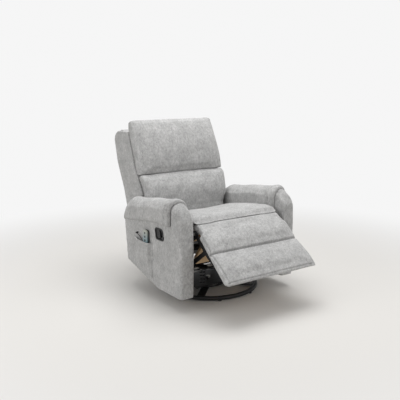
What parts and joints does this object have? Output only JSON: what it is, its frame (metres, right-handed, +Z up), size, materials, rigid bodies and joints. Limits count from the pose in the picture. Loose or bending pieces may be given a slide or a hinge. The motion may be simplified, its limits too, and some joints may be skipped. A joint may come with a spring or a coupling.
{
  "type": "swivel rocker recliner",
  "caption": "Upholstered swivel rocker recliner on a round steel base, with padded arms, a folding legrest, a side pocket with a wired handset and a pull lever.",
  "frame": {"origin": "on the floor under the swivel axis, which is the middle of the chair's box with the legrest half open", "axes": "+Z up, -Y towards the legrest, +X towards the sitter's left-hand arm"},
  "size_m": [0.8447, 1.1855, 0.977],
  "materials": {
    "upholstery": "heathered grey woven chenille",
    "webbing": "woven elastic",
    "plywood": "raw birch ply",
    "black_steel": "satin black powder coat",
    "zinc_steel": "zinc plated",
    "nylon": "black nylon",
    "black_plastic": "fine textured black",
    "handset_face": "satin grey",
    "button_rubber": "silicone",
    "cord_rubber": "matte black"
  },
  "bodies": {
    "base": {"base_ring": "black_steel", "base_cross": "black_steel", "base_glides": "nylon", "lower_race": "zinc_steel", "king_pin": "zinc_steel"},
    "ball_bearing": {"ball_cage": "nylon", "bearing_balls": "zinc_steel"},
    "swivel": {"upper_race": "zinc_steel", "swivel_plate": "black_steel", "rocker_pedestals": "black_steel", "rocker_shaft": "zinc_steel", "rocker_springs": "black_steel"},
    "chassis": {"chassis_frame": "black_steel", "rocker_bushes": "nylon", "chassis_plates": "black_steel", "chassis_pins": "zinc_steel", "arm_spacers": "zinc_steel", "rear_valance": "upholstery", "power_inlet": "black_plastic", "control_box": "black_plastic", "arm_frames": "plywood", "arm_cover_left": "upholstery", "arm_cover_right": "upholstery", "arm_pad_left": "upholstery", "arm_pad_right": "upholstery", "lever_bezel": "black_plastic", "lever_pin": "zinc_steel", "side_pocket": "upholstery", "cord_gland": "black_plastic", "handset_cord": "cord_rubber"},
    "release_lever": {"release_lever": "black_plastic"},
    "handset": {"handset_front": "handset_face", "handset_back": "black_plastic", "cord_relief": "cord_rubber"},
    "button_power": {"button_power": "button_rubber"},
    "button_heat": {"button_heat": "button_rubber"},
    "button_massage": {"button_massage": "button_rubber"},
    "front_link_left": {"front_link_left": "black_steel"},
    "front_link_right": {"front_link_right": "black_steel"},
    "seat": {"seat_brackets": "black_steel", "seat_pins": "zinc_steel", "seat_frame": "plywood", "seat_springs": "zinc_steel", "seat_cushion": "upholstery"},
    "back": {"back_brackets": "black_steel", "back_frame": "plywood", "back_webbing": "webbing", "vibration_motors": "black_plastic", "back_sides": "upholstery", "back_panel": "upholstery", "lumbar_cushion": "upholstery", "head_cushion": "upholstery"},
    "legrest": {"legrest_pad": "upholstery", "legrest_board": "plywood", "legrest_brackets": "black_steel"},
    "legrest_cranks": {"legrest_cranks": "black_steel"},
    "push_link_left": {"push_link_left": "black_steel"},
    "push_link_right": {"push_link_right": "black_steel"}
  },
  "joints": [
    {"name": "swivel_turn", "type": "hinge", "parent": "base", "child": "swivel", "pos_m": [0, 0, 0.04], "axis": [0, 0, 1], "continuous": true},
    {"name": "bearing_turn", "type": "hinge", "parent": "base", "child": "ball_bearing", "pos_m": [0, 0, 0.03], "axis": [0, 0, 1], "continuous": true},
    {"name": "rock", "type": "hinge", "parent": "swivel", "child": "chassis", "pos_m": [0, 0, 0.118], "axis": [-1, 0, 0], "range_deg": [-6, 12], "stiffness_Nm_per_rad": 900, "deforming": ["rocker_springs"]},
    {"name": "recline", "type": "hinge", "parent": "chassis", "child": "back", "pos_m": [0, 0.244, 0.46], "axis": [-1, 0, 0], "range_deg": [0, 38]},
    {"name": "front_swing_left", "type": "hinge", "parent": "chassis", "child": "front_link_left", "pos_m": [0.2845, -0.04, 0.315], "axis": [-1, 0, 0], "range_deg": [0, 38]},
    {"name": "front_swing_right", "type": "hinge", "parent": "chassis", "child": "front_link_right", "pos_m": [-0.2845, -0.04, 0.315], "axis": [-1, 0, 0], "range_deg": [0, 38]},
    {"name": "seat_carry", "type": "hinge", "parent": "front_link_left", "child": "seat", "pos_m": [0.285, -0.022, 0.247], "axis": [-1, 0, 0], "range_deg": [-38, 0]},
    {"name": "legrest_open", "type": "hinge", "parent": "seat", "child": "legrest", "pos_m": [0, -0.279, 0.416], "axis": [-1, 0, 0], "range_deg": [-43, 37]},
    {"name": "crank_turn", "type": "hinge", "parent": "seat", "child": "legrest_cranks", "pos_m": [0, -0.11, 0.29], "axis": [-1, 0, 0], "range_deg": [-43, 37]},
    {"name": "push_link_left_turn", "type": "hinge", "parent": "legrest_cranks", "child": "push_link_left", "pos_m": [0.2785, -0.20365, 0.21497], "axis": [-1, 0, 0], "range_deg": [-37, 43]},
    {"name": "push_link_right_turn", "type": "hinge", "parent": "legrest_cranks", "child": "push_link_right", "pos_m": [-0.2785, -0.20365, 0.21497], "axis": [-1, 0, 0], "range_deg": [-37, 43]},
    {"name": "release_pull", "type": "hinge", "parent": "chassis", "child": "release_lever", "pos_m": [-0.393, -0.078, 0.393], "axis": [0, 0, -1], "range_deg": [0, 24], "stiffness_Nm_per_rad": 0.8},
    {"name": "handset_lift", "type": "slide", "parent": "chassis", "child": "handset", "axis": [0, 0, 1], "range_m": [0, 0.036], "deforming": ["handset_cord"]},
    {"name": "button_power_press", "type": "slide", "parent": "handset", "child": "button_power", "axis": [1, 0, 0], "range_m": [0, 0.001], "stiffness_N_per_m": 600},
    {"name": "button_heat_press", "type": "slide", "parent": "handset", "child": "button_heat", "axis": [1, 0, 0], "range_m": [0, 0.001], "stiffness_N_per_m": 600},
    {"name": "button_massage_press", "type": "slide", "parent": "handset", "child": "button_massage", "axis": [1, 0, 0], "range_m": [0, 0.001], "stiffness_N_per_m": 600}
  ],
  "couplings": [
    {"joint": "bearing_turn", "follows": "swivel_turn", "ratio": 0.5},
    {"joint": "front_swing_left", "follows": "recline", "ratio": 1},
    {"joint": "front_swing_right", "follows": "recline", "ratio": 1},
    {"joint": "seat_carry", "follows": "recline", "ratio": -1},
    {"joint": "crank_turn", "follows": "legrest_open", "ratio": 1},
    {"joint": "push_link_left_turn", "follows": "legrest_open", "ratio": -1},
    {"joint": "push_link_right_turn", "follows": "legrest_open", "ratio": -1}
  ]
}
